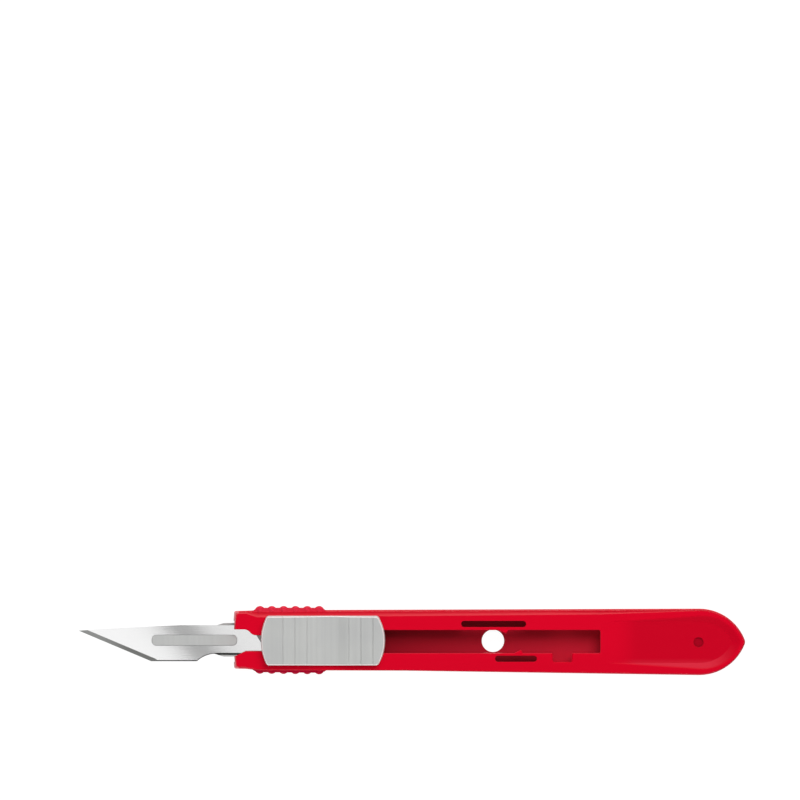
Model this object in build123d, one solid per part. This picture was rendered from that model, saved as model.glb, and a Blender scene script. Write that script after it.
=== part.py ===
from build123d import *
import os
from math import acos, atan2, cos, degrees, sin, sqrt

# A retractable disposable scalpel, all lengths in millimetres.
# It lies on the back face of its handle: +X runs towards the butt, +Y towards the spine
# of the blade, and +Z out of the face that the thumb pad slides on.
# The pieces stand with the blade fully out. The pad draws the blade back along +X.

# Handle: places along X are measured back from the nose
nose_x = -39.4
handle_length = 113.6
handle_thickness = 6.0
nose_spine_y = 6.7
nose_edge_y = -6.13
grip_spine_y = 6.86
grip_edge_y = -6.48
waist_back = 38.0
waist_edge_y = -6.58
butt_spine_y = 7.21
butt_edge_y = -7.57
butt_radius = 10.9
tip_radius = 1.5
nose_bulge = 0.3
nose_flare = 0.05
nose_corner_radius = 0.5

# Section of the handle: height of each level, and how far it stands in from the parting line.
# The bevel along the spine side is wide at the front and narrows to the butt.
back_round_height = 0.5
parting_height = 2.6
bevel_depth = 0.85
back_inset = 0.7
back_round_inset = 0.22
shoulder_nose_inset = 0.3
shoulder_front_inset = 0.4
shoulder_edge_inset = 0.08
shoulder_middle_inset = 0.3
shoulder_butt_inset = 0.15
face_nose_inset = 0.55
face_front_inset = 1.5
face_edge_inset = 0.25
face_middle_inset = 1.1
face_butt_inset = 0.4
bevel_start_back = 2.6
bevel_full_back = 5.2
bevel_narrows_back = 81.4

# Grip ribs on both edges of the handle
rib_count = 6
rib_pitch = 2.63
first_rib_back = 5.7
rib_radius = 1.15
rib_end_radius = 0.3
rib_taper = 1.2
spine_rib_stand = 0.93
edge_rib_stand = 0.75
rib_low = 0.9
rib_high = 4.9
spine_strip_stand = 0.52
edge_strip_stand = 0.38
edge_grip_lean = 0.6
strip_low = 1.1
strip_high = 4.6
strip_margin = 0.65
strip_ramp = 0.9
strip_sink = 0.1

# Blade, a standard surgical blade on its slotted fitting
blade_out = 34.6
blade_length = 42.0
blade_thickness = 0.4
blade_spine_y = 3.55
tip_drop = 1.22
tip_curve_length = 23.0
tip_curve_drop = 0.52
tang_width = 6.3
belly_width = 8.0
edge_length = 16.1
belly_length = 10.2
relief_length = 4.4
tang_slant = 3.8
grind_width = 0.9
belly_grind_width = 0.25
edge_land = 0.03
slot_length = 19.0
slot_width = 2.42
slot_back = 6.75
slot_y = 0.21
slot_corner_radius = 1.0

# Running and fitting clearances
run_gap = 0.25
slot_fit = 0.05
tang_gap = 0.15
stop_gap = 0.1
pad_gap = 0.15

# Hollow of the handle and the slot that the thumb pad runs in
floor_thickness = 1.2
plate_thickness = 1.5
channel_y = -0.03
channel_width = 5.1
channel_spare = 5.5
channel_corner_radius = 0.4
rim_radius = 0.22
cavity_end_gap = 0.6
throat_length = 8.3
throat_spine_y = 1.36
throat_edge_y = -2.17
mouth_spine_y = 2.67
mouth_edge_y = -3.35
mouth_straight = 2.2
mouth_curve_end = 4.9
mouth_ramp_end = 2.6

# Catch teeth on the two spring beams, measured from where the catch starts
tooth_height = 0.75
tooth_crest = 0.8
tooth_root = 0.2
spine_tooth_length = 2.3
edge_tooth_offset = 3.6
edge_tooth_length = 1.9

# Openings of the front plate and the hole in the floor, measured from the same place
hole_offset = -1.05
hole_y = 0.0
hole_diameter = 5.0
spine_slot_offset = -8.16
spine_slot_length = 14.4
edge_slot_offset = -0.65
edge_slot_length = 9.3
flex_slot_width = 1.37
spine_beam = 0.68
edge_beam = 0.57
notch_offset = 12.15
notch_length = 4.3
notch_depth = 1.95

# Sunk panel at the butt, which deepens towards the end; its wall leans out by a run for each rise
panel_gap = 1.4
panel_rim = 2.8
panel_wall_run = 3.4
panel_depth = 0.55
panel_corner_radius = 1.2
dimple_from_butt = 10.5
dimple_y = -0.2
dimple_diameter = 2.2
dimple_depth = 0.4

# Thumb slider
travel = 45.0
tongue_thickness = 1.65
tongue_front = 1.2
tongue_margin = 1.1
tongue_corner_radius = 1.6
tongue_nose_thickness = 0.7
flare_back = 14.4
flare_length = 4.6
guide_spine_y = 4.25
tongue_spine_y = 4.0
tongue_edge_y = -3.43
tongue_groove_width = 0.3
tongue_groove_depth = 1.0
boss_stand = 0.08
carrier_inset = 1.15
head_length = 4.75
head_clearance = 0.43
web_clearance = 0.17
web_inset = 2.75
pad_back = 5.95
pad_length = 27.6
pad_width = 11.05
pad_y = 0.2
pad_height = 2.5
pad_draft = 5.0
pad_front_bulge = 1.35
pad_rear_bulge = 1.6
pad_corner_radius = 0.8
pad_edge_radius = 0.2
steps_shift = 1.1
hollow_half = 2.4
hollow_depth = 0.2
ramp_end = 4.0
ramp_rise = 0.45
first_riser = 4.67
riser_pitch = 2.67
riser_count = 3
riser_rise = 0.16
riser_run = 0.14
tread_rise = 0.1
groove_width = 0.16
groove_depth = 0.07

# Values worked out from the sizes above
butt_x = nose_x + handle_length
butt_half = (butt_spine_y - butt_edge_y) / 2
tip_angle = acos((butt_radius - butt_half) / butt_radius)
tip_cut = tip_radius * (1 / sin(tip_angle) - 1)
arc_x = butt_x + tip_cut - butt_radius * sin(tip_angle)
tip_x = nose_x - blade_out
tang_x = tip_x + blade_length
slot_x = tang_x - slot_back - slot_length / 2
belly_y = blade_spine_y - belly_width
tang_edge_y = blade_spine_y - tang_width
pad_front = nose_x + pad_back
pad_rear = pad_front + pad_length
web_rear = pad_rear - web_inset
carrier_rear = pad_rear - carrier_inset
channel_x = nose_x + throat_length
channel_end = web_rear + travel + channel_spare
channel_spine_y = channel_y + channel_width / 2
channel_edge_y = channel_y - channel_width / 2
head_front = channel_x + stop_gap
head_rear = head_front + head_length
catch_x = head_rear + travel + head_clearance
cavity_spine_y = guide_spine_y + run_gap
cavity_edge_y = belly_y - run_gap
plate_bottom = handle_thickness - plate_thickness
carrier_bottom = floor_thickness + run_gap
carrier_top = plate_bottom - run_gap
seat_z = carrier_bottom + tongue_thickness
pad_bottom = handle_thickness + pad_gap
tongue_front_x = slot_x - slot_length / 2 - tongue_front
flare_x = tang_x - flare_back
panel_x = channel_end + panel_gap
reach = 1.0
side_steepness = 0.25


# Flat face from a closed chain of points
def flat(*points):
    return make_face(Polyline(*points, close=True))


# The two arcs that meet at the butt tip, set in by one amount
def butt_arcs(inset):
    radius = butt_radius - inset
    sweep = degrees(acos((butt_radius - butt_half) / radius))
    edge_arc = CenterArc((arc_x, butt_edge_y + butt_radius), radius, -90, sweep)
    spine_arc = CenterArc((arc_x, butt_spine_y - butt_radius), radius, 90 - sweep, sweep)
    return [edge_arc, spine_arc]


# Outline of the handle at one level, set in by its own amount at each stretch
def handle_level(height, nose_inset, front_inset, edge_inset, middle_inset, butt_inset):
    start_x = nose_x + bevel_start_back
    full_x = nose_x + bevel_full_back
    middle_x = nose_x + bevel_narrows_back
    middle_y = grip_spine_y + (butt_spine_y - grip_spine_y) * (middle_x - full_x) / (arc_x - full_x)
    nose_spine = (nose_x + nose_inset, nose_spine_y - nose_inset)
    nose_edge = (nose_x + nose_inset, nose_edge_y + nose_inset)
    nose_middle = (nose_x - nose_bulge + nose_inset, (nose_spine_y + nose_edge_y) / 2)
    edge_side = Polyline(
        nose_edge,
        (start_x, nose_edge_y + nose_inset - nose_flare),
        (full_x, grip_edge_y + edge_inset),
        (nose_x + waist_back, waist_edge_y + edge_inset),
        (arc_x, butt_edge_y + butt_inset),
    )
    spine_side = Polyline(
        (arc_x, butt_spine_y - butt_inset),
        (middle_x, middle_y - middle_inset),
        (full_x, grip_spine_y - front_inset),
        (start_x, nose_spine_y - nose_inset + nose_flare),
        nose_spine,
    )
    nose_arc = ThreePointArc(nose_spine, nose_middle, nose_edge)
    face = make_face([edge_side, *butt_arcs(butt_inset), spine_side, nose_arc])
    face = fillet(face.vertices().sort_by(Axis.X)[-1], tip_radius)
    face = fillet(face.vertices().sort_by(Axis.X)[:2], nose_corner_radius)
    return Pos(0, 0, height) * face


# Outer form of the handle: drafted sides that meet at the parting line, and bevelled face edges
def handle_body():
    levels = [
        handle_level(0, *[back_inset] * 5),
        handle_level(back_round_height, *[back_round_inset] * 5),
        handle_level(parting_height, *[0] * 5),
        handle_level(
            handle_thickness - bevel_depth,
            shoulder_nose_inset,
            shoulder_front_inset,
            shoulder_edge_inset,
            shoulder_middle_inset,
            shoulder_butt_inset,
        ),
        handle_level(
            handle_thickness,
            face_nose_inset,
            face_front_inset,
            face_edge_inset,
            face_middle_inset,
            face_butt_inset,
        ),
    ]
    return loft(levels, ruled=True)


# Upright rib with a tapered nose at each end
def tapered_rib():
    half = (
        (0, rib_low),
        (rib_end_radius, rib_low),
        (rib_radius, rib_low + rib_taper),
        (rib_radius, rib_high - rib_taper),
        (rib_end_radius, rib_high),
        (0, rib_high),
    )
    return revolve(Plane.XZ * flat(*half), Axis.Z)


# One grip on an edge of the handle: a raised strip with ramped ends and a row of ribs
def grip(edge_y, side, strip_stand, rib_stand):
    length = (rib_count - 1) * rib_pitch + 2 * strip_margin
    start = nose_x + first_rib_back - strip_margin
    root_y = edge_y - side * reach
    face_y = edge_y + side * strip_stand
    strip = flat(
        (start - strip_ramp, root_y),
        (start - strip_ramp, edge_y - side * strip_sink),
        (start, face_y),
        (start + length, face_y),
        (start + length + strip_ramp, edge_y - side * strip_sink),
        (start + length + strip_ramp, root_y),
    )
    solid = Pos(0, 0, strip_low) * extrude(strip, strip_high - strip_low)
    rib = tapered_rib()
    rib_y = edge_y + side * (rib_stand - rib_radius)
    for index in range(rib_count):
        rib_x = nose_x + first_rib_back + index * rib_pitch
        solid += Pos(rib_x, rib_y, 0) * rib
    return solid


# Grip of the edge side, which leans out a little towards the rear as that side does
def edge_grip():
    solid = grip(grip_edge_y, -1, edge_strip_stand, edge_rib_stand)
    pivot = (nose_x + first_rib_back, grip_edge_y)
    return Pos(*pivot) * Rot(0, 0, -edge_grip_lean) * Pos(-pivot[0], -pivot[1]) * solid


# Long hollow that the carrier runs in, open at the nose
def cavity():
    front = nose_x - nose_bulge - reach
    length = channel_end + cavity_end_gap - front
    width = cavity_spine_y - cavity_edge_y
    middle = (front + length / 2, (cavity_spine_y + cavity_edge_y) / 2, (floor_thickness + plate_bottom) / 2)
    return Pos(*middle) * Box(length, width, plate_bottom - floor_thickness)


# Open mouth between the jaws, which narrow to the throat that stops the slider
def mouth_face():
    front = nose_x - nose_bulge - reach
    curve_start = (nose_x + mouth_straight, mouth_spine_y)
    curve_end = (nose_x + mouth_curve_end, throat_spine_y)
    curve_middle = (
        (curve_start[0] + curve_end[0]) / 2,
        (curve_start[1] + curve_end[1]) / 2,
    )
    ramp_slope = (throat_edge_y - mouth_edge_y) / mouth_ramp_end
    outline = [
        Line((front, mouth_spine_y), curve_start),
        TangentArc(curve_start, curve_middle, tangent=(1, 0)),
        TangentArc(curve_end, curve_middle, tangent=(-1, 0)),
        Polyline(
            curve_end,
            (channel_x + reach, throat_spine_y),
            (channel_x + reach, throat_edge_y),
            (nose_x + mouth_ramp_end, throat_edge_y),
            (front, mouth_edge_y + ramp_slope * (front - nose_x)),
            (front, mouth_spine_y),
        ),
    ]
    return make_face(outline)


# Slot with round ends, from its start, its length and the middle of its width
def round_slot(start, length, middle_y):
    return Pos(start + length / 2, middle_y) * SlotOverall(length, flex_slot_width)


# Catch tooth on one edge of the channel, with a gentle front flank and a steep rear flank
def tooth(start, length, edge_y, side):
    crest_x = start + tooth_crest * length
    return flat(
        (start, edge_y + side * tooth_root),
        (start, edge_y),
        (crest_x, edge_y - side * tooth_height),
        (start + length, edge_y),
        (start + length, edge_y + side * tooth_root),
    )


# Side notch of the channel
def notch_face():
    middle = (catch_x + notch_offset + notch_length / 2, channel_edge_y - (notch_depth - reach) / 2)
    notch = Pos(*middle) * Rectangle(notch_length, notch_depth + reach)
    return fillet(notch.vertices().sort_by(Axis.Y)[:2], channel_corner_radius)


# Way that the slider runs in: the mouth, the channel and its notch, less the catch teeth
def slide_way():
    channel_length = channel_end - channel_x
    channel = Pos(channel_x + channel_length / 2, channel_y) * Rectangle(channel_length, channel_width)
    channel = fillet(channel.vertices().sort_by(Axis.X)[2:], channel_corner_radius)
    teeth = tooth(catch_x, spine_tooth_length, channel_spine_y, 1)
    teeth += tooth(catch_x + edge_tooth_offset, edge_tooth_length, channel_edge_y, -1)
    return mouth_face() + channel + notch_face() - teeth


# Slots that free the two spring beams from the front plate
def beam_slots():
    spine_y = channel_spine_y + spine_beam + flex_slot_width / 2
    edge_y = channel_edge_y - edge_beam - flex_slot_width / 2
    slots = round_slot(catch_x + spine_slot_offset, spine_slot_length, spine_y)
    return slots + round_slot(catch_x + edge_slot_offset, edge_slot_length, edge_y)


# Cutter through the front plate
def through_plate(face):
    return Pos(0, 0, plate_bottom - reach) * extrude(face, plate_thickness + 2 * reach)


# Outline of the sunk panel, set in from the butt
def panel_level(height, start, inset):
    spine_y = butt_spine_y - inset
    edge_y = butt_edge_y + inset
    sides = [
        Line((start, edge_y), (arc_x, edge_y)),
        Line((arc_x, spine_y), (start, spine_y)),
        Line((start, spine_y), (start, edge_y)),
    ]
    face = make_face(sides + butt_arcs(inset))
    face = fillet(face.vertices().sort_by(Axis.X)[-1], tip_radius)
    face = fillet(face.vertices().sort_by(Axis.X)[:2], panel_corner_radius)
    return Pos(0, 0, height) * face


# Sunk panel at the butt: its floor starts level with the face and tilts down to the end
def butt_panel():
    lower = panel_level(0, panel_x, panel_rim)
    upper = panel_level(reach, panel_x - reach, panel_rim - panel_wall_run * reach)
    tilt = degrees(atan2(panel_depth, butt_x - panel_x - panel_rim))
    tool = Pos(-panel_x, 0, 0) * loft([lower, upper], ruled=True)
    return Pos(panel_x, 0, handle_thickness) * Rot(0, tilt, 0) * tool


# Shallow round mark in the floor of the panel
def panel_dimple():
    mark_x = butt_x - dimple_from_butt
    slope = panel_depth / (butt_x - panel_x - panel_rim)
    bottom_z = handle_thickness - slope * (mark_x - panel_x) - dimple_depth
    return Pos(mark_x, dimple_y, bottom_z + reach / 2) * Cylinder(dimple_diameter / 2, reach)


# Rounds the rim of the slide way where it breaks the face
def soften_rim(body):
    face_z = handle_thickness
    rim = body.edges().filter_by_position(Axis.Z, face_z - slot_fit, face_z + slot_fit)
    rim = rim.filter_by_position(Axis.Y, cavity_edge_y, cavity_spine_y)
    rim = rim.filter_by_position(Axis.X, nose_x + nose_corner_radius, channel_end + slot_fit)
    return fillet(rim, rim_radius)


def handle():
    body = handle_body()
    body += grip(grip_spine_y, 1, spine_strip_stand, spine_rib_stand)
    body += edge_grip()
    body -= cavity()
    body -= through_plate(slide_way())
    body = soften_rim(body)
    body -= through_plate(beam_slots())
    body -= Pos(catch_x + hole_offset, hole_y, 0) * Cylinder(hole_diameter / 2, 2 * floor_thickness + reach)
    body -= butt_panel()
    return body - panel_dimple()


# Face of the blade seen from the front, with its slot
def blade_face():
    belly_x = tip_x + edge_length
    relief_x = belly_x + belly_length
    curve_end = (tip_x + tip_curve_length, blade_spine_y)
    curve_middle = (tip_x + tip_curve_length / 2, blade_spine_y - tip_curve_drop)
    tip = (tip_x, blade_spine_y - tip_drop)
    relief_end = (relief_x + relief_length, tang_edge_y)
    outline = [
        ThreePointArc(tip, curve_middle, curve_end),
        Polyline(
            curve_end,
            (tang_x - tang_slant, blade_spine_y),
            (tang_x, tang_edge_y),
            relief_end,
        ),
        TangentArc(relief_end, (relief_x, belly_y), tangent=(-1, 0)),
        Polyline((relief_x, belly_y), (belly_x, belly_y), tip),
    ]
    return make_face(outline)


# Slot of the blade, or the boss that fills it when it is set in by the fit
def slot_face(fit):
    slot = Rectangle(slot_length - 2 * fit, slot_width - 2 * fit)
    return Pos(slot_x, slot_y) * fillet(slot.vertices(), slot_corner_radius - fit)


# Wedges that grind both faces down to one straight stretch of the cutting edge
def grind_wedges(start, end, width):
    run = end[0] - start[0]
    drop = end[1] - start[1]
    heading = atan2(drop, run)
    along = (cos(heading), sin(heading))
    land = edge_land / 2
    face_rise = (blade_thickness - edge_land) / 2
    rise = face_rise + reach
    top = land + rise
    wedge = flat((-reach, land), (0, land), (width * rise / face_rise, top), (-reach, top))
    plane = Plane(
        origin=(start[0] - reach * along[0], start[1] - reach * along[1], 0),
        x_dir=(-along[1], along[0], 0),
        z_dir=(along[0], along[1], 0),
    )
    bar = plane * extrude(wedge, sqrt(drop**2 + run**2) + 2 * reach)
    return bar + mirror(bar, about=Plane.XY)


def blade():
    tip = (tip_x, blade_spine_y - tip_drop)
    belly_start = (tip_x + edge_length, belly_y)
    belly_end = (tip_x + edge_length + belly_length, belly_y)
    middle = Pos(0, 0, blade_thickness / 2)
    solid = extrude(blade_face() - slot_face(0), blade_thickness)
    solid -= middle * grind_wedges(tip, belly_start, grind_width)
    solid -= middle * grind_wedges(belly_start, belly_end, belly_grind_width)
    return Pos(0, 0, seat_z) * solid


# Plan of the tongue: slim under the blade, and flared to the width of the guide in the nose
def tongue_face():
    spine_y = slot_y + slot_width / 2 + tongue_margin
    edge_y = slot_y - slot_width / 2 - tongue_margin
    shape = flat(
        (tongue_front_x, edge_y),
        (flare_x, edge_y),
        (flare_x + flare_length, tongue_edge_y),
        (tang_x, tongue_edge_y),
        (tang_x, tongue_spine_y),
        (flare_x + flare_length, tongue_spine_y),
        (flare_x, spine_y),
        (tongue_front_x, spine_y),
    )
    return fillet(shape.vertices().sort_by(Axis.X)[:6], tongue_corner_radius)


# Carrier block behind the tang, with the oblique shoulder that the tang meets
def carrier_face():
    front = tang_x + tang_gap
    return flat(
        (front - tang_slant, blade_spine_y),
        (front, tang_edge_y),
        (front, belly_y),
        (carrier_rear, belly_y),
        (carrier_rear, guide_spine_y),
        (front - tang_slant, guide_spine_y),
    )


# Wedge that thins the tongue from below towards its front
def tongue_relief():
    thinned = tongue_thickness - tongue_nose_thickness
    front = tongue_front_x - reach
    side = flat((front, -reach), (flare_x, -reach), (flare_x, 0), (tongue_front_x, thinned), (front, thinned))
    return extrude(Plane.XZ * side, belly_width, both=True)


# Groove along the edge side of the tang, which parts the blade from the margin of the tongue
def tongue_groove():
    groove_end = nose_x + mouth_ramp_end
    middle_y = tang_edge_y - tongue_groove_width / 2
    groove = Box(groove_end - flare_x, tongue_groove_width, 2 * tongue_groove_depth)
    return Pos((flare_x + groove_end) / 2, middle_y, tongue_thickness) * groove


# Tongue and carrier that run inside the handle, with the boss that fills the slot of the blade
def carrier():
    base = extrude(tongue_face() + carrier_face(), tongue_thickness) - tongue_relief() - tongue_groove()
    block = extrude(carrier_face(), carrier_top - carrier_bottom)
    boss = extrude(slot_face(slot_fit), tongue_thickness + blade_thickness + boss_stand) - tongue_relief()
    return Pos(0, 0, carrier_bottom) * (base + block + boss)


# Neck that rises through the channel: a wide head that stops at the throat, and a web
# that passes between the catch teeth
def neck():
    head_width = channel_width - 2 * run_gap
    web_width = channel_width - 2 * tooth_height - 2 * web_clearance
    head = Pos((head_front + head_rear) / 2, channel_y) * Rectangle(head_length, head_width)
    web = Pos((head_rear + web_rear) / 2, channel_y) * Rectangle(web_rear - head_rear, web_width)
    return Pos(0, 0, carrier_top) * extrude(head + web, pad_bottom - carrier_top)


# Plan of the thumb pad, with bowed ends
def pad_face():
    left_x = pad_front + pad_front_bulge
    right_x = pad_rear - pad_rear_bulge
    spine_y = pad_y + pad_width / 2
    edge_y = pad_y - pad_width / 2
    outline = [
        Line((left_x, edge_y), (right_x, edge_y)),
        ThreePointArc((right_x, edge_y), (pad_rear, pad_y), (right_x, spine_y)),
        Line((right_x, spine_y), (left_x, spine_y)),
        ThreePointArc((left_x, spine_y), (pad_front, pad_y), (left_x, edge_y)),
    ]
    face = make_face(outline)
    return fillet(face.vertices(), pad_corner_radius)


# Heights of one half of the pad top, from the hollow out to the end: a ramp, then treads and
# risers with a fine groove along the foot of each riser
def pad_steps():
    height = pad_height - riser_count * (riser_rise + tread_rise) - tread_rise - ramp_rise
    steps = [(hollow_half, height), (ramp_end, height + ramp_rise)]
    height += ramp_rise
    for index in range(riser_count):
        foot_x = first_riser + index * riser_pitch - riser_run / 2
        height += tread_rise
        steps.append((foot_x - groove_width, height))
        steps.append((foot_x, height - groove_depth))
        height += riser_rise
        steps.append((foot_x + riser_run, height))
    steps.append((pad_length / 2 + steps_shift + reach, height + tread_rise))
    return steps


# Rounds the rim between the sides of the pad and its terraced top
def soften_pad(body):
    sides = body.faces().filter_by(lambda face: abs(face.normal_at().Z) < side_steepness)
    tops = body.faces().filter_by(lambda face: face.normal_at().Z > side_steepness)
    side_edges = sides.edges()
    return fillet([edge for edge in tops.edges() if edge in side_edges], pad_edge_radius)


# Thumb pad: terraces that step down from both ends to a smooth hollow in the middle
def pad():
    body = extrude(pad_face(), pad_height + reach, taper=pad_draft)
    steps = pad_steps()
    left = [(-x, z) for x, z in reversed(steps)]
    end_x, end_z = steps[-1]
    hollow_z = steps[0][1]
    outline = [
        Polyline((-end_x, -reach), *left),
        ThreePointArc(left[-1], (0, hollow_z - hollow_depth), steps[0]),
        Polyline(*steps, (end_x, -reach), (-end_x, -reach)),
    ]
    profile = Plane.XZ * make_face(outline)
    middle_x = (pad_front + pad_rear) / 2 + steps_shift
    terraces = Pos(middle_x, pad_y) * extrude(profile, pad_width, both=True)
    return Pos(0, 0, pad_bottom) * soften_pad(body & terraces)


def thumb_slider():
    return carrier() + neck() + pad()


os.makedirs("parts", exist_ok=True)
for name, make in (("handle", handle), ("thumb_slider", thumb_slider), ("blade", blade)):
    export_step(make(), f"parts/{name}.step")
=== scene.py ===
import math

import bpy
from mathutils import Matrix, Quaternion, Vector

# Retractable disposable scalpel lying on its flat back, seen from straight above.
# Metres everywhere in the scene. The dictionaries give millimetres where a name ends in Mm, and the
# materials work in millimetres. +X runs to the butt and +Y to the spine side.

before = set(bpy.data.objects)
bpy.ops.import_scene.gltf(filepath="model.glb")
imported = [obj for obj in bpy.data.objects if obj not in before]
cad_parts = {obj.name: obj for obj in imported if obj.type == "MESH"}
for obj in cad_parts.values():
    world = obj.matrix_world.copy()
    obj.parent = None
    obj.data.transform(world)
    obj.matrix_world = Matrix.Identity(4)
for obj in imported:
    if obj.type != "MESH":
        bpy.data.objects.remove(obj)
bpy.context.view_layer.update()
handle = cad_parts["handle"]
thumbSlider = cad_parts["thumb_slider"]
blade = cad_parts["blade"]
mm = 0.001
noiseSpan = (0.35, 0.65)  # nearly all of a noise texture lies between these
hairNoise = {"Detail": 3}  # lines with finer ones between them
grittyNoise = {"Detail": 4, "Roughness": 0.6}
print("frame loaded:", ", ".join(sorted(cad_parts)))


def hexColour(text):  # sRGB hex to the linear colour that sockets take
    channels = [int(text[i:i + 2], 16) / 255 for i in (1, 3, 5)]
    linear = [c / 12.92 if c <= 0.04045 else ((c + 0.055) / 1.055) ** 2.4 for c in channels]
    return (*linear, 1.0)


def addNode(tree, kind, settings=None, inputs=None):  # an input is a number, a hex colour or what feeds it
    node = tree.nodes.new(kind)
    for name, value in (settings or {}).items():
        setattr(node, name, value)
    for name, value in (inputs or {}).items():
        if isinstance(value, bpy.types.NodeSocket):
            tree.links.new(value, node.inputs[name])
        else:
            node.inputs[name].default_value = hexColour(value) if isinstance(value, str) else value
    return node


def newMaterial(name):  # an empty material and its output node
    material = bpy.data.materials.new(name)
    material.use_nodes = True
    material.node_tree.nodes.clear()
    return material, material.node_tree, material.node_tree.nodes.new("ShaderNodeOutputMaterial")


def readPlace(tree):  # the place on the piece in millimetres, whole and in parts, and the way the face looks
    metres = addNode(tree, "ShaderNodeTexCoord").outputs["Object"]
    place = addNode(tree, "ShaderNodeVectorMath", {"operation": "SCALE"}, {0: metres, "Scale": 1 / mm}).outputs[0]
    normal = addNode(tree, "ShaderNodeNewGeometry").outputs["True Normal"]
    spot, facing = [tuple(addNode(tree, "ShaderNodeSeparateXYZ", None, {0: whole}).outputs)
                    for whole in (place, normal)]
    return place, spot, facing


def whereAll(tree, *tests):  # the share, 0 to 1, where every test holds; a share made before is a test too
    share = None
    for test in tests:
        if isinstance(test, tuple):
            value, sign, limit = test
            operation = {"<": "LESS_THAN", ">": "GREATER_THAN"}[sign]
            test = addNode(tree, "ShaderNodeMath", {"operation": operation}, {0: value, 1: limit}).outputs[0]
        if share is not None:
            test = addNode(tree, "ShaderNodeMath", {"operation": "MULTIPLY"}, {0: share, 1: test}).outputs[0]
        share = test
    return share


# Camera

cameraPlace = {
    "centreXMm": -2.56,
    "centreYMm": 53.6,
    "aboveMm": 1803.5,
    "widthSeenMm": 177.8,  # what the picture is wide, at the height of the blade
    "bladeHeightMm": 3.5,
    "filmMm": 36,
    "clip": (0.1, 20),
}


def placeCamera(p):
    data = bpy.data.cameras.new("camera")
    data.sensor_width = p["filmMm"]
    data.lens = p["filmMm"] * (p["aboveMm"] - p["bladeHeightMm"]) / p["widthSeenMm"]
    data.clip_start, data.clip_end = p["clip"]
    camera = bpy.data.objects.new("camera", data)
    camera.location = Vector((p["centreXMm"], p["centreYMm"], p["aboveMm"])) * mm
    bpy.context.scene.collection.objects.link(camera)
    bpy.context.scene.camera = camera


placeCamera(cameraPlace)
bpy.context.scene.view_settings.view_transform = "Standard"
print("camera placed")


# Light: a high softbox behind the spine side, a weak one in front, both kept off the blade, a low
# strip behind, two cards overhead that the blade mirrors with a dark gap between them, and a pale room

mirroredCard = {"size": (0.14, 0.34), "turnDegrees": 40.7}
lamps = {
    "keySoftbox": {"place": (0.24, 0.62, 1.05), "size": (0.9, 0.7), "watts": 9.8, "flagged": True},
    "fillSoftbox": {"place": (-0.1, -0.95, 0.75), "size": (1.0, 0.5), "watts": 4.0, "flagged": True},
    "backStrip": {"place": (0.1, 1.15, 0.32), "size": (1.3, 0.16), "watts": 1.5},
    "tipCard": {**mirroredCard, "place": (-0.1278, -0.0751, 0.9), "aim": (-0.1278, -0.0751, 0), "watts": 0.125},
    "tangCard": {**mirroredCard, "place": (-0.0154, 0.0215, 0.9), "aim": (-0.0154, 0.0215, 0), "watts": 0.102},
}
room = {"colour": "#ffffff", "overhead": 0.17, "horizon": 0.68}


def hangLamps(p):
    keptFromGlare = bpy.data.collections.new("keptFromGlare")
    keptFromGlare.objects.link(blade)
    keptFromGlare.collection_objects[0].light_linking.link_state = "EXCLUDE"
    for name, lampPlace in p.items():
        data = bpy.data.lights.new(name, "AREA")
        data.shape = "RECTANGLE"
        data.size, data.size_y = lampPlace["size"]
        data.energy = lampPlace["watts"]
        lamp = bpy.data.objects.new(name, data)
        lamp.location = lampPlace["place"]
        towards = Vector(lampPlace.get("aim", (0, 0, 0))) - lamp.location
        turn = Quaternion((0, 0, 1), math.radians(lampPlace.get("turnDegrees", 0)))
        lamp.rotation_euler = (towards.to_track_quat("-Z", "Y") @ turn).to_euler()
        bpy.context.scene.collection.objects.link(lamp)
        if lampPlace.get("flagged"):  # as with a flag on a stand, the blade never mirrors this lamp
            lamp.light_linking.receiver_collection = keptFromGlare


def lightRoom(p):  # dimmer overhead than at the horizon, as in a room with pale walls
    world = bpy.data.worlds.new("room")
    bpy.context.scene.world = world
    world.use_nodes = True
    tree = world.node_tree
    tree.nodes.clear()
    direction = addNode(tree, "ShaderNodeTexCoord").outputs["Generated"]
    upward = addNode(tree, "ShaderNodeSeparateXYZ", None, {0: direction}).outputs["Z"]
    strength = addNode(tree, "ShaderNodeMapRange", None,
                       {"Value": upward, "To Min": p["horizon"], "To Max": p["overhead"]}).outputs[0]
    lit = addNode(tree, "ShaderNodeBackground", None, {"Color": p["colour"], "Strength": strength}).outputs[0]
    addNode(tree, "ShaderNodeOutputWorld", None, {"Surface": lit})


hangLamps(lamps)
lightRoom(room)
print("lamps and room lit")


# Floor: white card that keeps a weak shadow of the scalpel

floorCard = {
    "halfSize": 3.0,
    "colour": "#f4f4f4",
    "whiteColour": "#ffffff",
    "whiteStrength": 1.12,
    "whiteShare": 0.86,  # of what the camera and the mirroring steel see of the card
}


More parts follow.
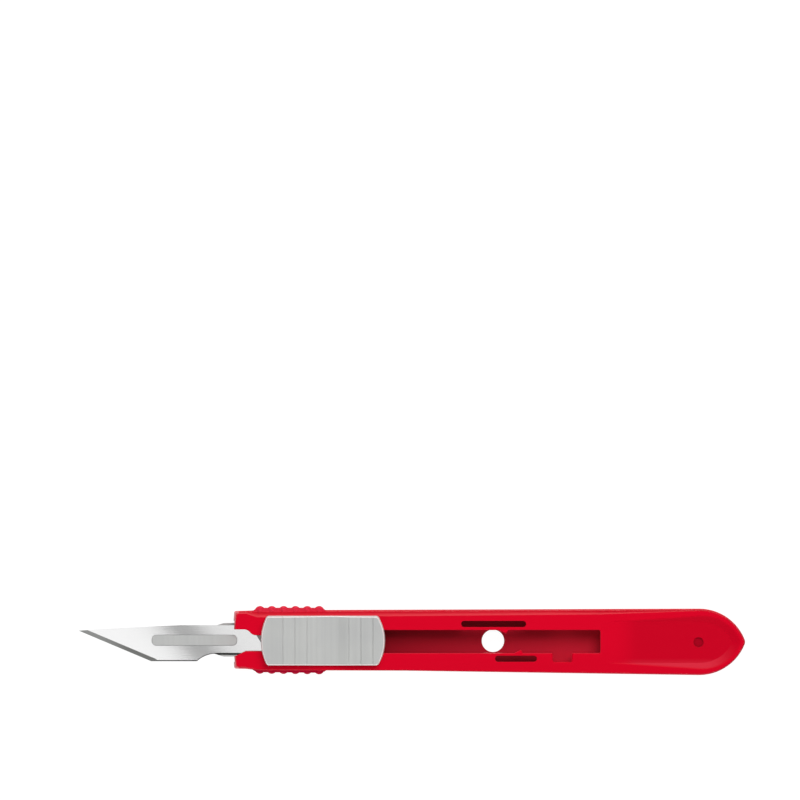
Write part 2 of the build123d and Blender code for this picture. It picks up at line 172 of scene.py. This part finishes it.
def layFloor(p):
    half = p["halfSize"]
    corners = [(-half, -half, 0), (half, -half, 0), (half, half, 0), (-half, half, 0)]
    mesh = bpy.data.meshes.new("floor")
    mesh.from_pydata(corners, [], [(0, 1, 2, 3)])
    floor = bpy.data.objects.new("floor", mesh)
    bpy.context.scene.collection.objects.link(floor)

    material, tree, out = newMaterial("whiteCard")
    rays = addNode(tree, "ShaderNodeLightPath").outputs
    seen = rays["Is Camera Ray"]
    for ray in ("Is Glossy Ray", "Is Transmission Ray"):
        seen = addNode(tree, "ShaderNodeMath", {"operation": "MAXIMUM"}, {0: seen, 1: rays[ray]}).outputs[0]
    share = addNode(tree, "ShaderNodeMath", {"operation": "MULTIPLY"}, {0: seen, 1: p["whiteShare"]}).outputs[0]
    card = addNode(tree, "ShaderNodeBsdfDiffuse", None, {"Color": p["colour"]}).outputs[0]
    white = addNode(tree, "ShaderNodeEmission", None,
                    {"Color": p["whiteColour"], "Strength": p["whiteStrength"]}).outputs[0]
    mix = addNode(tree, "ShaderNodeMixShader", None, {0: share, 1: card, 2: white})
    tree.links.new(mix.outputs[0], out.inputs["Surface"])
    mesh.materials.append(material)


layFloor(floorCard)
print("floor laid")


# Handle: high-impact polystyrene, injection moulded in a polished tool. Names that end in Facing say
# which way a face looks: 1 is straight up, and for wall and slope straight to the spine side.

redPlastic = {
    "colour": "#d80024",
    "ior": 1.59,
    "specular": 0.22,  # the pigment takes most of the white glare
    "specularTint": "#ff6268",
    "roughness": 0.36,
    "roughnessSpread": 0.08,
    "flowColour": "#d00022",  # where the pigment lies thicker along the flow
    "flowMm": 22,
    "flowStretch": 0.25,
    "toolMarkMm": 0.5,  # polishing marks of the tool, really 0.05 mm apart, drawn coarser so that they show
    "toolMarkStretch": 0.06,
    "toolMarkDepthMm": 0.004,
    "skinMm": 1.6,  # slight shrinkage waves of the skin
    "skinDepthMm": 0.006,
    "seamHeightMm": 2.6,  # where the two halves of the mould meet
    "seamHalfMm": 0.05,
    "seamDepthMm": 0.03,
    "edgeRadiusMm": 0.15,  # the tool leaves no dead-sharp edge
    "edgeSamples": 6,
    "faceHeightMm": 6.0,
    "faceFacing": 0.5,
    "hollowHalfMm": 5.0,
    # the sunk panel is painted a shade deeper, a painted shade in the recess
    "panelShadeColour": "#c60020",
    "panelStartMm": 43.3,
    "panelEaseMm": 8.0,
    "panelDepthMm": 0.8,
    "panelSoftMm": (0.12, 0.005),  # below the face, where its shade is full and where it starts
    # its wall on the edge side catches the light, and some of that falls on the floor at its foot
    "wallColour": "#cc2238",
    "wallFacing": (0.08, 0.26),
    "wallBloom": 0.45,
    "wallBloomMm": (-4.75, -3.6),  # from the foot inwards
    "wallFadeMm": (66.5, 72.5),
    # the rims of the channel are painted paler, a painted highlight
    "channelRimHighlightColour": "#e43449",
    "highlightOuterMm": 2.8,
    "highlightFacing": (0.1, 0.5),  # towards the spine side and the nose
    # the outer sides are matt; the rounded rim above them is painted deeper as painted shade, and on the edge side
    # the rim and the rib ends take a cooler painted shade
    "sideRoughness": 0.7,
    "sideFacing": (0.85, 0.96),
    "noseEndMm": -38.4,
    "buttRoundMm": 66.0,
    "paintedRimColour": "#9a0018",
    "edgeSideShadeColour": "#c20b38",
    "rimFacing": (0.15, 0.4),
    # the ends of the ribs on the spine side are painted paler, a painted highlight
    "ribHighlightColour": "#dc2c44",
    "ribTopMm": 5.05,
    "ribFacing": 0.15,
    # the wide bevel takes a painted highlight above a foot that climbs towards the butt, and painted shade below
    # it
    "slopeHighlightColour": "#dd3844",
    "slopeShadeColour": "#c2001e",
    "slopeFacing": 0.3,
    "slopeFootMm": (5.15, 5.95),
    "slopeClimbMm": (30.0, 68.0),
    # the blind round mark is painted dark, a painted shade in its dimple
    "markShadeColour": "#a4001c",
    "markXMm": 63.7,
    "markYMm": -0.2,
    "markRadiusMm": 1.12,
    "markTopMm": 5.45,
    # inside, painted shade with a whitish haze of painted reflection, deepest by the pad and painted paler towards
    # the butt
    "channelShadeColour": "#900c1c",
    "channelLitColour": "#cd1e35",
    "palingMm": (-7.0, 42.0),
    "palingPower": 0.5,
    "insideHeightMm": (0.8, 4.5),
    # under the beams little light comes back out
    "bayColour": "#7c101c",
    "bayInnerMm": 2.7,
    "bayEndMm": 29.0,
}


def paintHandle(tree, p, place, spot, facing):  # the colour, and the share that is outer side
    (x, y, z), (facingX, facingY, facingZ) = spot, facing
    faceHeight, hollowHalf = p["faceHeightMm"], p["hollowHalfMm"]
    offMiddle = addNode(tree, "ShaderNodeMath", {"operation": "ABSOLUTE"}, {0: y}).outputs[0]

    flowPlace = addNode(tree, "ShaderNodeMapping", None, {"Vector": place, "Scale": (p["flowStretch"], 1, 1)})
    flow = addNode(tree, "ShaderNodeTexNoise", None, {"Vector": flowPlace.outputs[0], "Scale": 1 / p["flowMm"]})
    flowShare = addNode(tree, "ShaderNodeMapRange", None,
                        {"Value": flow.outputs["Fac"], "From Min": noiseSpan[0], "From Max": noiseSpan[1]})

    fullDepth, startDepth = p["panelSoftMm"]
    belowFace = addNode(tree, "ShaderNodeMapRange", None,
                        {"Value": z, "From Min": faceHeight - fullDepth, "From Max": faceHeight - startDepth,
                         "To Min": 1, "To Max": 0}).outputs[0]
    sunk = whereAll(tree, belowFace, (z, ">", faceHeight - p["panelDepthMm"]), (facingZ, ">", p["faceFacing"]))
    panelEnd = p["panelStartMm"] + p["panelEaseMm"]
    panelEase = addNode(tree, "ShaderNodeMapRange", {"interpolation_type": "SMOOTHSTEP"},
                        {"Value": x, "From Min": p["panelStartMm"], "From Max": panelEnd}).outputs[0]
    inPanel = whereAll(tree, sunk, panelEase)

    wallTurn = addNode(tree, "ShaderNodeMapRange", None,
                       {"Value": facingY, "From Min": p["wallFacing"][0], "From Max": p["wallFacing"][1]})
    bloom = addNode(tree, "ShaderNodeMapRange", {"interpolation_type": "SMOOTHSTEP"},
                    {"Value": y, "From Min": p["wallBloomMm"][0], "From Max": p["wallBloomMm"][1],
                     "To Min": p["wallBloom"], "To Max": 0})
    wallShare = addNode(tree, "ShaderNodeMath", {"operation": "MAXIMUM"},
                        {0: wallTurn.outputs[0], 1: bloom.outputs[0]}).outputs[0]
    wallFade = addNode(tree, "ShaderNodeMapRange", None,
                       {"Value": x, "From Min": p["wallFadeMm"][0], "From Max": p["wallFadeMm"][1],
                        "To Min": 1, "To Max": 0}).outputs[0]

    lean = addNode(tree, "ShaderNodeMath", {"operation": "SUBTRACT"}, {0: facingY, 1: facingX}).outputs[0]
    highlightTurn = addNode(tree, "ShaderNodeMapRange", None,
                         {"Value": lean, "From Min": p["highlightFacing"][0],
                          "From Max": p["highlightFacing"][1]}).outputs[0]
    channelRimHighlight = whereAll(tree, sunk, (offMiddle, "<", p["highlightOuterMm"]), (x, "<", p["panelStartMm"]), highlightTurn)

    spineSide = whereAll(tree, (y, ">", 0))
    outOfHollow = whereAll(tree, (offMiddle, ">", hollowHalf))
    butt = whereAll(tree, (x, ">", p["buttRoundMm"]))
    outline, spineOrButt = [
        addNode(tree, "ShaderNodeMath", {"operation": "MAXIMUM"}, {0: zone, 1: butt}).outputs[0]
        for zone in (outOfHollow, spineSide)]
    upDown = addNode(tree, "ShaderNodeMath", {"operation": "ABSOLUTE"}, {0: facingZ}).outputs[0]
    steep = addNode(tree, "ShaderNodeMapRange", None,
                    {"Value": upDown, "From Min": p["sideFacing"][0], "From Max": p["sideFacing"][1],
                     "To Min": 1, "To Max": 0}).outputs[0]
    side = whereAll(tree, outline, steep, (x, ">", p["noseEndMm"]))
    rimTurn = addNode(tree, "ShaderNodeMapRange", None,
                      {"Value": facingZ, "From Min": p["rimFacing"][0], "From Max": p["rimFacing"][1]}).outputs[0]
    rim = whereAll(tree, side, rimTurn)
    ribEnd = whereAll(tree, (z, "<", p["ribTopMm"]), (facingZ, ">", p["ribFacing"]))
    rimOrRib = addNode(tree, "ShaderNodeMath", {"operation": "MAXIMUM"}, {0: ribEnd, 1: rim}).outputs[0]

    footFront, footRear = p["slopeFootMm"]
    highlightFoot = addNode(tree, "ShaderNodeMapRange", None,
                         {"Value": x, "From Min": p["slopeClimbMm"][0], "From Max": p["slopeClimbMm"][1],
                          "To Min": footFront, "To Max": footRear}).outputs[0]
    slopeHighlight = addNode(tree, "ShaderNodeMapRange", {"interpolation_type": "SMOOTHSTEP"},
                     {"Value": z, "From Min": highlightFoot, "From Max": faceHeight}).outputs[0]
    onSlope = whereAll(tree, (facingY, ">", p["slopeFacing"]), (z, ">", footFront), (y, ">", hollowHalf))

    markPlace = addNode(tree, "ShaderNodeCombineXYZ", None, {"X": p["markXMm"], "Y": p["markYMm"], "Z": z})
    offMark = addNode(tree, "ShaderNodeVectorMath", {"operation": "DISTANCE"}, {0: place, 1: markPlace.outputs[0]})
    inMark = whereAll(tree, (offMark.outputs["Value"], "<", p["markRadiusMm"]), (z, "<", p["markTopMm"]))

    hollowFloor, hollowTop = p["insideHeightMm"]
    inside = whereAll(tree, (offMiddle, "<", hollowHalf), (z, "<", hollowTop), (z, ">", hollowFloor))
    paling = addNode(tree, "ShaderNodeMapRange", None,
                     {"Value": x, "From Min": p["palingMm"][0], "From Max": p["palingMm"][1]}).outputs[0]
    paler = addNode(tree, "ShaderNodeMath", {"operation": "POWER"}, {0: paling, 1: p["palingPower"]}).outputs[0]
    inBay = whereAll(tree, inside, (offMiddle, ">", p["bayInnerMm"]), (x, "<", p["bayEndMm"]))

    colour = p["colour"]
    for share, layer in (
        (flowShare.outputs[0], p["flowColour"]),
        # painted shade in the sunk panel
        (inPanel, p["panelShadeColour"]),
        (whereAll(tree, inPanel, wallShare, wallFade), p["wallColour"]),
        # painted highlight on the rims of the channel
        (channelRimHighlight, p["channelRimHighlightColour"]),
        # painted shade on the rounded rim, on the spine side and at the butt, and cooler on the edge side with the
        # rib ends
        (whereAll(tree, rim, spineOrButt), p["paintedRimColour"]),
        (whereAll(tree, rimOrRib, (y, "<", -hollowHalf)), p["edgeSideShadeColour"]),
        # painted highlight on the rib ends of the spine side
        (whereAll(tree, ribEnd, (y, ">", hollowHalf)), p["ribHighlightColour"]),
        # painted shade low on the wide bevel, painted highlight above its foot
        (onSlope, p["slopeShadeColour"]),
        (whereAll(tree, onSlope, slopeHighlight), p["slopeHighlightColour"]),
        # painted shade in the round dimple
        (inMark, p["markShadeColour"]),
        # painted shade inside the hollow, painted paler towards the butt
        (inside, p["channelShadeColour"]),
        (whereAll(tree, inside, paler), p["channelLitColour"]),
        (inBay, p["bayColour"]),
    ):
        colour = addNode(tree, "ShaderNodeMix", {"data_type": "RGBA"}, {0: share, 6: colour, 7: layer}).outputs[2]
    return colour, side


def makeRedPlastic(p):
    # Pigmented high-impact polystyrene: deep even red, a soft gloss, faint flow shades and a parting line.
    material, tree, out = newMaterial("mouldedPolystyrene")
    place, spot, facing = readPlace(tree)
    colour, side = paintHandle(tree, p, place, spot, facing)

    marksPlace = addNode(tree, "ShaderNodeMapping", None, {"Vector": place, "Scale": (p["toolMarkStretch"], 1, 1)})
    marks = addNode(tree, "ShaderNodeTexNoise", None,
                    {"Vector": marksPlace.outputs[0], "Scale": 1 / p["toolMarkMm"], **hairNoise}).outputs["Fac"]
    skin = addNode(tree, "ShaderNodeTexNoise", None, {"Vector": place, "Scale": 1 / p["skinMm"]}).outputs["Fac"]
    faceRough = addNode(tree, "ShaderNodeMapRange", None,
                        {"Value": marks, "To Min": p["roughness"] - p["roughnessSpread"],
                         "To Max": p["roughness"] + p["roughnessSpread"]})
    rough = addNode(tree, "ShaderNodeMapRange", None,
                    {"Value": side, "To Min": faceRough.outputs[0], "To Max": p["sideRoughness"]})

    aboveSeam = addNode(tree, "ShaderNodeMath", {"operation": "SUBTRACT"}, {0: spot[2], 1: p["seamHeightMm"]})
    offSeam = addNode(tree, "ShaderNodeMath", {"operation": "ABSOLUTE"}, {0: aboveSeam.outputs[0]})
    seam = addNode(tree, "ShaderNodeMapRange", {"interpolation_type": "SMOOTHSTEP"},
                   {"Value": offSeam.outputs[0], "From Max": p["seamHalfMm"], "To Min": 1, "To Max": 0}).outputs[0]
    normal = addNode(tree, "ShaderNodeBevel", {"samples": p["edgeSamples"]},
                     {"Radius": p["edgeRadiusMm"] * mm}).outputs[0]
    for height, depthMm in ((seam, p["seamDepthMm"]), (skin, p["skinDepthMm"]), (marks, p["toolMarkDepthMm"])):
        normal = addNode(tree, "ShaderNodeBump", None,
                         {"Distance": depthMm * mm, "Height": height, "Normal": normal}).outputs[0]

    shader = addNode(tree, "ShaderNodeBsdfPrincipled", None,
                     {"Base Color": colour, "Roughness": rough.outputs[0], "Normal": normal, "IOR": p["ior"],
                      "Specular IOR Level": p["specular"], "Specular Tint": p["specularTint"]})
    tree.links.new(shader.outputs[0], out.inputs["Surface"])
    return material


# Thumb slider: grey acetal, moulded, with a matt spark-eroded skin on the pad

greyPlastic = {
    "colour": "#b9bab9",
    "ior": 1.48,
    "specular": 0.4,
    "roughness": 0.48,
    "roughnessSpread": 0.06,
    "flowColour": "#bebfbd",  # paler along the flow
    "flowMm": 9,
    "grainMm": 0.22,  # really about 0.05 mm, drawn coarser so that it shows
    "grainDepthMm": 0.006,
    "streakColour": "#000000",  # cutter lines of the tool run across the pad
    "streakShare": 0.07,
    "streakMm": 1.1,  # drawn coarser so that they show
    "streakStretch": 0.02,
    "edgeRadiusMm": 0.18,
    "edgeSamples": 6,
    # the rounded rim of the pad carries a painted highlight with a painted reflection of some red, its upright
    # sides less
    "paintedRimColour": "#fff2f1",
    "rimTurn": (0.12, 0.4),  # how far the face looks sideways
    "sideShare": 0.3,
    "sideFacing": (0.1, 0.35),
    "padBottomMm": 6.2,
    "padMiddleMm": -19.65,
    "padEndHalfMm": 12.4,
    # no light comes back out of the groove beside the tang
    "grooveColour": "#3a3a39",
    "grooveYMm": -2.9,
    "grooveHalfMm": 0.17,
    "grooveTopMm": 2.95,
    "grooveFrontMm": -36.8,
    "grooveFacing": 0.5,  # its floor alone, not its walls
}


def paintSlider(tree, p, place, spot, facing):
    (x, y, z), (facingX, facingY, facingZ) = spot, facing
    flow = addNode(tree, "ShaderNodeTexNoise", None, {"Vector": place, "Scale": 1 / p["flowMm"]})
    flowShare = addNode(tree, "ShaderNodeMapRange", None,
                        {"Value": flow.outputs["Fac"], "From Min": noiseSpan[0], "From Max": noiseSpan[1]})
    streakPlace = addNode(tree, "ShaderNodeMapping", None,
                          {"Vector": place, "Scale": (1, p["streakStretch"], p["streakStretch"])})
    streak = addNode(tree, "ShaderNodeTexNoise", None,
                     {"Vector": streakPlace.outputs[0], "Scale": 1 / p["streakMm"], **grittyNoise})
    streakShare = addNode(tree, "ShaderNodeMapRange", None,
                          {"Value": streak.outputs["Fac"], "From Min": noiseSpan[0], "From Max": noiseSpan[1],
                           "To Max": p["streakShare"]})

    fromMiddle = addNode(tree, "ShaderNodeMath", {"operation": "SUBTRACT"}, {0: x, 1: p["padMiddleMm"]}).outputs[0]
    fromGroove = addNode(tree, "ShaderNodeMath", {"operation": "SUBTRACT"}, {0: y, 1: p["grooveYMm"]}).outputs[0]
    offMiddle, offGroove, lengthways, sideways = [
        addNode(tree, "ShaderNodeMath", {"operation": "ABSOLUTE"}, {0: value}).outputs[0]
        for value in (fromMiddle, fromGroove, facingX, facingY)]
    endTurn = whereAll(tree, lengthways, (offMiddle, ">", p["padEndHalfMm"]))
    turned = addNode(tree, "ShaderNodeMath", {"operation": "MAXIMUM"}, {0: sideways, 1: endTurn}).outputs[0]
    rimTurn = addNode(tree, "ShaderNodeMapRange", None,
                      {"Value": whereAll(tree, turned, (z, ">", p["padBottomMm"])),
                       "From Min": p["rimTurn"][0], "From Max": p["rimTurn"][1]})
    rounded = addNode(tree, "ShaderNodeMapRange", None,
                      {"Value": facingZ, "From Min": p["sideFacing"][0], "From Max": p["sideFacing"][1],
                       "To Min": p["sideShare"]})
    inGroove = whereAll(tree, (offGroove, "<", p["grooveHalfMm"]), (z, "<", p["grooveTopMm"]),
                        (x, "<", p["grooveFrontMm"]), (facingZ, ">", p["grooveFacing"]))

    colour = p["colour"]
    for share, layer in (
        (flowShare.outputs[0], p["flowColour"]),
        (streakShare.outputs[0], p["streakColour"]),
        # painted highlight on the pad's rim
        (whereAll(tree, rimTurn.outputs[0], rounded.outputs[0]), p["paintedRimColour"]),
        (inGroove, p["grooveColour"]),
    ):
        colour = addNode(tree, "ShaderNodeMix", {"data_type": "RGBA"}, {0: share, 6: colour, 7: layer}).outputs[2]
    return colour


def makeGreyPlastic(p):
    # Acetal: cool light grey, waxy and matt, with a very fine even grain from the tool.
    material, tree, out = newMaterial("mouldedAcetal")
    place, spot, facing = readPlace(tree)
    colour = paintSlider(tree, p, place, spot, facing)
    grain = addNode(tree, "ShaderNodeTexNoise", None,
                    {"Vector": place, "Scale": 1 / p["grainMm"], **grittyNoise}).outputs["Fac"]
    rough = addNode(tree, "ShaderNodeMapRange", None,
                    {"Value": grain, "To Min": p["roughness"] - p["roughnessSpread"],
                     "To Max": p["roughness"] + p["roughnessSpread"]})
    edge = addNode(tree, "ShaderNodeBevel", {"samples": p["edgeSamples"]}, {"Radius": p["edgeRadiusMm"] * mm})
    normal = addNode(tree, "ShaderNodeBump", None,
                     {"Distance": p["grainDepthMm"] * mm, "Height": grain, "Normal": edge.outputs[0]})
    shader = addNode(tree, "ShaderNodeBsdfPrincipled", None,
                     {"Base Color": colour, "Roughness": rough.outputs[0], "Normal": normal.outputs[0],
                      "IOR": p["ior"], "Specular IOR Level": p["specular"]})
    tree.links.new(shader.outputs[0], out.inputs["Surface"])
    return material


# Blade: stainless strip, cold rolled, then ground along the cutting edge

bladeSteel = {
    "colour": "#f6f6f6",
    "metallic": 1.0,
    "roughness": 0.052,
    "middleMm": 3.3,
    "halfThicknessMm": 0.2,
    "rollMm": 0.22,  # rolling lines, really 0.02 mm apart, drawn coarser so that they show
    "rollStretch": 0.03,
    "rollDepthMm": 0.0004,
    # the ground bevel, whose grind thins out towards the tip
    "groundColour": "#cdcecb",
    "groundPaleColour": "#e6e7e5",
    "groundRoughness": 0.34,
    "groundPaleRoughness": 0.75,
    "groundPalingMm": (-63.2, -70.0),
    "groundSoftMm": (0.012, 0.002),  # below the flat, where the grind is full and where it starts
    "grindMm": 0.3,  # grinding marks, drawn coarser too
    "grindStretch": 0.05,
    "grindDepthMm": 0.0035,
    "grindDegrees": 67,  # they run square to the straight cutting edge
    # sides and the steep edge of the belly are sheared, and painted dark as painted shade; a thin painted shadow
    # runs along the edge of the hollow between belly and tang, which is given by its middle and radius
    "edgeShadeColour": "#565654",
    "shearedFacing": 0.9,
    "reliefXMm": -43.3,
    "reliefYMm": -9.294,
    "reliefRadiusMm": 6.544,
    "reliefShadowMm": 0.16,
    "reliefShadowEndMm": -37.5,
}


def paintBlade(tree, p, ground, thin, spot, facing):
    x, y = spot[:2]
    ahead = addNode(tree, "ShaderNodeMath", {"operation": "SUBTRACT"}, {0: p["reliefXMm"], 1: x})
    reliefX = addNode(tree, "ShaderNodeMath", {"operation": "MAXIMUM"}, {0: ahead.outputs[0], 1: 0})
    reliefY = addNode(tree, "ShaderNodeMath", {"operation": "SUBTRACT"}, {0: y, 1: p["reliefYMm"]})
    reliefSpot = addNode(tree, "ShaderNodeCombineXYZ", None, {"X": reliefX.outputs[0], "Y": reliefY.outputs[0]})
    offRelief = addNode(tree, "ShaderNodeVectorMath", {"operation": "LENGTH"}, {0: reliefSpot.outputs[0]})
    # a thin painted shadow along the edge of the hollow
    reliefShadow = whereAll(tree, (offRelief.outputs["Value"], "<", p["reliefRadiusMm"] + p["reliefShadowMm"]),
                    (x, "<", p["reliefShadowEndMm"]))
    upDown = addNode(tree, "ShaderNodeMath", {"operation": "ABSOLUTE"}, {0: facing[2]}).outputs[0]
    steep = whereAll(tree, (upDown, "<", p["shearedFacing"]))
    darkEdge = addNode(tree, "ShaderNodeMath", {"operation": "MAXIMUM"}, {0: steep, 1: reliefShadow}).outputs[0]
    groundGrey = addNode(tree, "ShaderNodeMix", {"data_type": "RGBA"},
                         {0: thin, 6: p["groundColour"], 7: p["groundPaleColour"]}).outputs[2]
    colour = p["colour"]
    # painted shade on the steep edges and on the band along the hollow
    for share, layer in ((ground, groundGrey), (darkEdge, p["edgeShadeColour"])):
        colour = addNode(tree, "ShaderNodeMix", {"data_type": "RGBA"}, {0: share, 6: colour, 7: layer}).outputs[2]
    return colour


def makeBladeSteel(p):
    # Cold-rolled stainless: bright, nearly a mirror, with hair lines along the strip and a greyer ground edge.
    material, tree, out = newMaterial("rolledStainlessSteel")
    place, spot, facing = readPlace(tree)

    fullDepth, startDepth = p["groundSoftMm"]
    fromMiddle = addNode(tree, "ShaderNodeMath", {"operation": "SUBTRACT"}, {0: spot[2], 1: p["middleMm"]})
    offMiddle = addNode(tree, "ShaderNodeMath", {"operation": "ABSOLUTE"}, {0: fromMiddle.outputs[0]})
    ground = addNode(tree, "ShaderNodeMapRange", None,
                     {"Value": offMiddle.outputs[0], "From Min": p["halfThicknessMm"] - fullDepth,
                      "From Max": p["halfThicknessMm"] - startDepth, "To Min": 1, "To Max": 0}).outputs[0]
    thickEnd, thinEnd = p["groundPalingMm"]
    thin = addNode(tree, "ShaderNodeMapRange", None,
                   {"Value": spot[0], "From Min": thickEnd, "From Max": thinEnd}).outputs[0]
    colour = paintBlade(tree, p, ground, thin, spot, facing)
    groundRough = addNode(tree, "ShaderNodeMapRange", None,
                          {"Value": thin, "To Min": p["groundRoughness"], "To Max": p["groundPaleRoughness"]})
    rough = addNode(tree, "ShaderNodeMapRange", None,
                    {"Value": ground, "To Min": p["roughness"], "To Max": groundRough.outputs[0]})

    rollPlace = addNode(tree, "ShaderNodeMapping", None, {"Vector": place, "Scale": (p["rollStretch"], 1, 1)})
    roll = addNode(tree, "ShaderNodeTexNoise", None,
                   {"Vector": rollPlace.outputs[0], "Scale": 1 / p["rollMm"], **hairNoise})
    grindTurn = addNode(tree, "ShaderNodeMapping", None,
                        {"Vector": place, "Rotation": (0, 0, math.radians(-p["grindDegrees"]))})
    grindPlace = addNode(tree, "ShaderNodeMapping", None,
                         {"Vector": grindTurn.outputs[0], "Scale": (p["grindStretch"], 1, 1)})
    grind = addNode(tree, "ShaderNodeTexNoise", None,
                    {"Vector": grindPlace.outputs[0], "Scale": 1 / p["grindMm"], **hairNoise})
    grindHeight = whereAll(tree, grind.outputs["Fac"], ground)
    rollBump = addNode(tree, "ShaderNodeBump", None,
                       {"Distance": p["rollDepthMm"] * mm, "Height": roll.outputs["Fac"]})
    grindBump = addNode(tree, "ShaderNodeBump", None,
                        {"Distance": p["grindDepthMm"] * mm, "Height": grindHeight, "Normal": rollBump.outputs[0]})
    shader = addNode(tree, "ShaderNodeBsdfPrincipled", None,
                     {"Base Color": colour, "Metallic": p["metallic"], "Roughness": rough.outputs[0],
                      "Normal": grindBump.outputs[0]})
    tree.links.new(shader.outputs[0], out.inputs["Surface"])
    return material


handle.material_slots[0].material = makeRedPlastic(redPlastic)
thumbSlider.material_slots[0].material = makeGreyPlastic(greyPlastic)
blade.material_slots[0].material = makeBladeSteel(bladeSteel)
print("materials made")
